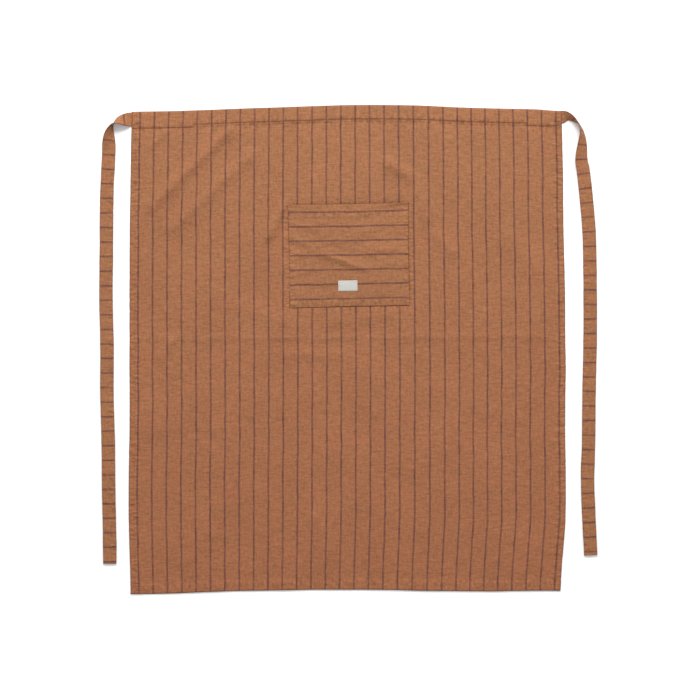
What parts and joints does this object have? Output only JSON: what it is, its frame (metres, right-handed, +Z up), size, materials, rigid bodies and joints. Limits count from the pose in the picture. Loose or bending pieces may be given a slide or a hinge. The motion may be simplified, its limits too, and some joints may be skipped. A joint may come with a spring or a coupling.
{
  "type": "waist apron",
  "caption": "Knee-length waist apron in striped washed cotton with a patch pocket, blank woven label and long side ties, lying flat.",
  "frame": {"origin": "centre of the footprint of the apron laid flat, on the surface it lies on", "axes": "+Y towards the waist edge, +X across the apron towards its right-hand tie as seen from above, +Z up from the surface"},
  "size_m": [0.818, 0.808, 0.022],
  "materials": {
    "striped_cotton": "matte",
    "label_tape": "matte",
    "seam_thread": "matte"
  },
  "bodies": {
    "apron": {"apron_panel": "striped_cotton", "waist_casing": "striped_cotton", "bottom_hem": "striped_cotton", "left_side_hem": "striped_cotton", "right_side_hem": "striped_cotton", "pocket_panel": "striped_cotton", "pocket_mouth_hem": "striped_cotton", "pocket_left_turning": "striped_cotton", "pocket_right_turning": "striped_cotton", "pocket_bottom_turning": "striped_cotton", "left_tie_root": "striped_cotton", "right_tie_root": "striped_cotton", "woven_label": "label_tape", "waist_stitching": "seam_thread", "bottom_hem_stitching": "seam_thread", "left_hem_stitching": "seam_thread", "right_hem_stitching": "seam_thread", "pocket_mouth_stitching": "seam_thread", "pocket_stitching": "seam_thread", "pocket_bar_tacks": "seam_thread", "label_stitching": "seam_thread", "left_tie_anchor_stitching": "seam_thread", "right_tie_anchor_stitching": "seam_thread"},
    "left_tie_free": {"left_tie": "striped_cotton", "left_tie_stitching": "seam_thread"},
    "right_tie_free": {"right_tie": "striped_cotton", "right_tie_stitching": "seam_thread"}
  },
  "joints": [
    {"name": "left_tie_swing", "type": "hinge", "parent": "apron", "child": "left_tie_free", "pos_m": [-0.384, 0.374, 0], "axis": [0, 0, -1], "range_deg": [0, 120]},
    {"name": "right_tie_swing", "type": "hinge", "parent": "apron", "child": "right_tie_free", "pos_m": [0.384, 0.374, 0], "axis": [0, 0, 1], "range_deg": [0, 120]}
  ]
}
